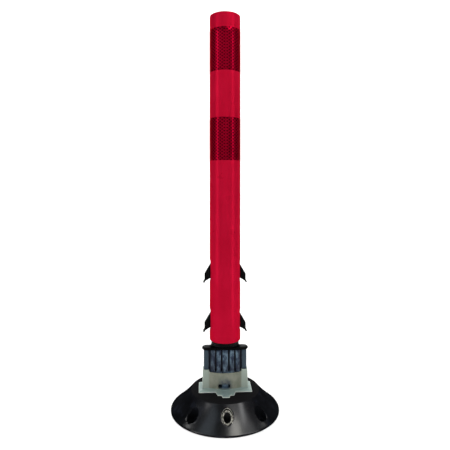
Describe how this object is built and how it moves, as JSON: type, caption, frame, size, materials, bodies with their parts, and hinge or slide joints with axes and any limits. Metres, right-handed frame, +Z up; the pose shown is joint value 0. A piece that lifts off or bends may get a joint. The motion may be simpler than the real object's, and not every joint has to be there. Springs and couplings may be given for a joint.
{
  "type": "flexible delineator post",
  "caption": "Round upright marker post with reflective bands on a flat springy hinge block, held by barbs and a flared bolt-down base.",
  "frame": {"origin": "middle of the base's underside", "axes": "+Z up along the post, front of the hinge faces -Y, barbs on +X and -X"},
  "size_m": [0.196, 0.196, 0.7113],
  "materials": {
    "black_base": "glossy black moulding",
    "dark_steel": "dark plated steel",
    "zinc_steel": "zinc plated",
    "spring_steel": "bright spring steel",
    "grey_urethane": "translucent grey-beige cast urethane",
    "slate_urethane": "translucent slate-blue cast urethane",
    "black_plastic": "satin black moulding",
    "red_plastic": "satin red extrusion",
    "reflective_red": "prismatic dark-red sheeting"
  },
  "bodies": {
    "base": {"base_flare": "black_base", "bolt_sleeves": "dark_steel", "backing_plate": "zinc_steel", "centre_bolt": "zinc_steel", "centre_washer": "zinc_steel", "centre_nut": "zinc_steel", "locating_pins": "zinc_steel", "root_block": "grey_urethane"},
    "link": {"ribbed_block": "slate_urethane", "middle_insert": "zinc_steel"},
    "post": {"top_insert": "zinc_steel", "collar": "black_plastic", "barb_core": "black_plastic", "core_washer": "zinc_steel", "core_bolt": "zinc_steel", "barb_pins": "spring_steel", "upper_barb_spring": "spring_steel", "lower_barb_spring": "spring_steel", "post_tube": "red_plastic", "post_cap": "red_plastic", "upper_band": "reflective_red", "lower_band": "reflective_red"},
    "upper_left_barb": {"upper_barb_left": "black_plastic"},
    "upper_right_barb": {"upper_barb_right": "black_plastic"},
    "lower_left_barb": {"lower_barb_left": "black_plastic"},
    "lower_right_barb": {"lower_barb_right": "black_plastic"}
  },
  "joints": [
    {"name": "sway_side", "type": "hinge", "parent": "base", "child": "link", "pos_m": [0, 0, 0.055], "axis": [0, 1, 0], "range_deg": [-12, 12], "stiffness_Nm_per_rad": 60, "deforming": ["root_block"]},
    {"name": "bend_front_back", "type": "hinge", "parent": "link", "child": "post", "pos_m": [0, 0, 0.084], "axis": [1, 0, 0], "range_deg": [-90, 90], "stiffness_Nm_per_rad": 12, "deforming": ["ribbed_block"]},
    {"name": "upper_left_barb_pivot", "type": "hinge", "parent": "post", "child": "upper_left_barb", "pos_m": [-0.018, 0, 0.276], "axis": [0, -1, 0], "range_deg": [0, 6], "stiffness_Nm_per_rad": 0.05, "springref_deg": -8.59, "deforming": ["upper_barb_spring"]},
    {"name": "upper_right_barb_pivot", "type": "hinge", "parent": "post", "child": "upper_right_barb", "pos_m": [0.018, 0, 0.276], "axis": [0, 1, 0], "range_deg": [0, 6], "stiffness_Nm_per_rad": 0.05, "springref_deg": -8.59, "deforming": ["upper_barb_spring"]},
    {"name": "lower_left_barb_pivot", "type": "hinge", "parent": "post", "child": "lower_left_barb", "pos_m": [-0.018, 0, 0.1868], "axis": [0, -1, 0], "range_deg": [0, 6], "stiffness_Nm_per_rad": 0.05, "springref_deg": -8.59, "deforming": ["lower_barb_spring"]},
    {"name": "lower_right_barb_pivot", "type": "hinge", "parent": "post", "child": "lower_right_barb", "pos_m": [0.018, 0, 0.1868], "axis": [0, 1, 0], "range_deg": [0, 6], "stiffness_Nm_per_rad": 0.05, "springref_deg": -8.59, "deforming": ["lower_barb_spring"]}
  ]
}
